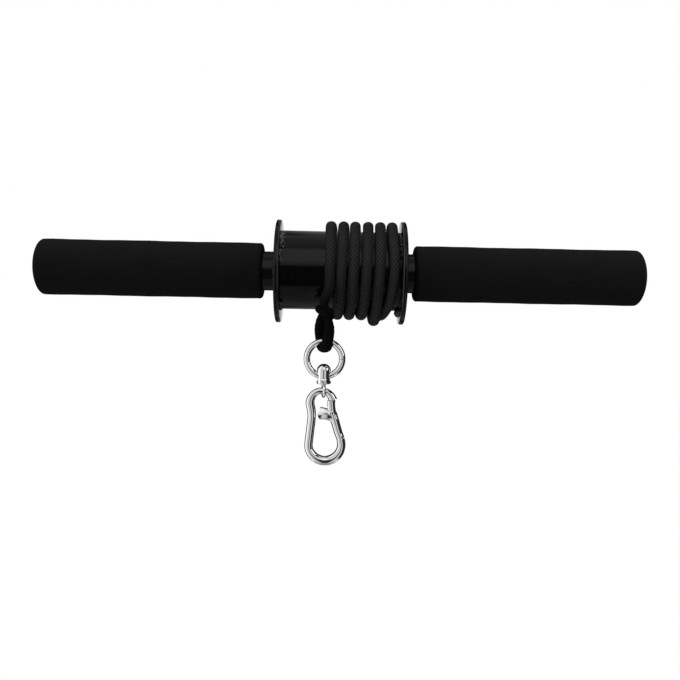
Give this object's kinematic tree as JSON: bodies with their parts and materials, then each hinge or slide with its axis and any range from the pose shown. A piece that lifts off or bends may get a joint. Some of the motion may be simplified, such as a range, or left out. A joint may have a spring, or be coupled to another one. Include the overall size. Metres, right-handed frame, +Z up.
{
  "type": "wrist roller",
  "caption": "Wrist roller: foam-gripped steel bar with a welded spool, a wound braided cord and a swivelling snap hook.",
  "frame": {"origin": "middle of the spool on the bar's axis, where both hands' pull meets", "axes": "+X along the bar towards the right-hand grip in the picture, +Z up, -Y towards the viewer, where the cord hangs"},
  "size_m": [0.391, 0.0706, 0.1537],
  "materials": {
    "enamel": "gloss black",
    "foam": "matt closed-cell foam",
    "cord": "black braid",
    "bright": "polished",
    "zinc": "plain zinc"
  },
  "bodies": {
    "roller": {"bar_tube": "enamel", "drum_tube": "enamel", "flange_left": "enamel", "flange_right": "enamel", "grip_left": "foam", "grip_right": "foam", "rope_winding": "cord", "rope_anchor_knot": "cord", "rope_tail": "cord", "rope_eye": "cord"},
    "ring": {"ring": "bright"},
    "swivel": {"swivel_body": "bright"},
    "link": {"swivel_link": "bright"},
    "hook": {"hook_body": "bright", "gate_rivet": "zinc"},
    "gate": {"hook_gate": "bright", "gate_spring": "zinc"},
    "pusher": {"gate_pusher": "zinc"}
  },
  "joints": [
    {"name": "ring_swing", "type": "hinge", "parent": "roller", "child": "ring", "pos_m": [-0.0089, -0.02895, -0.0422], "axis": [1, 0, 0], "range_deg": [-60, 30]},
    {"name": "eye_swing", "type": "hinge", "parent": "ring", "child": "swivel", "pos_m": [-0.0092, -0.02895, -0.0641], "axis": [1, 0, 0], "range_deg": [-60, 40]},
    {"name": "swivel_spin", "type": "hinge", "parent": "swivel", "child": "link", "pos_m": [-0.0092, -0.02895, -0.0675], "axis": [0, 0, 1], "continuous": true},
    {"name": "hook_swing", "type": "hinge", "parent": "link", "child": "hook", "pos_m": [-0.0092, -0.02895, -0.0731], "axis": [1, 0, 0], "range_deg": [-45, 60]},
    {"name": "gate_open", "type": "hinge", "parent": "hook", "child": "gate", "pos_m": [-0.00451, -0.02895, -0.0863], "axis": [0, 1, 0], "range_deg": [0, 20], "stiffness_Nm_per_rad": 0.05, "springref_deg": -17.19},
    {"name": "pusher_slide", "type": "slide", "parent": "gate", "child": "pusher", "axis": [0.4431, 0, -0.8965], "range_m": [0, 0.0006], "stiffness_N_per_m": 800, "springref_m": -0.0005, "deforming": ["gate_spring"]}
  ]
}
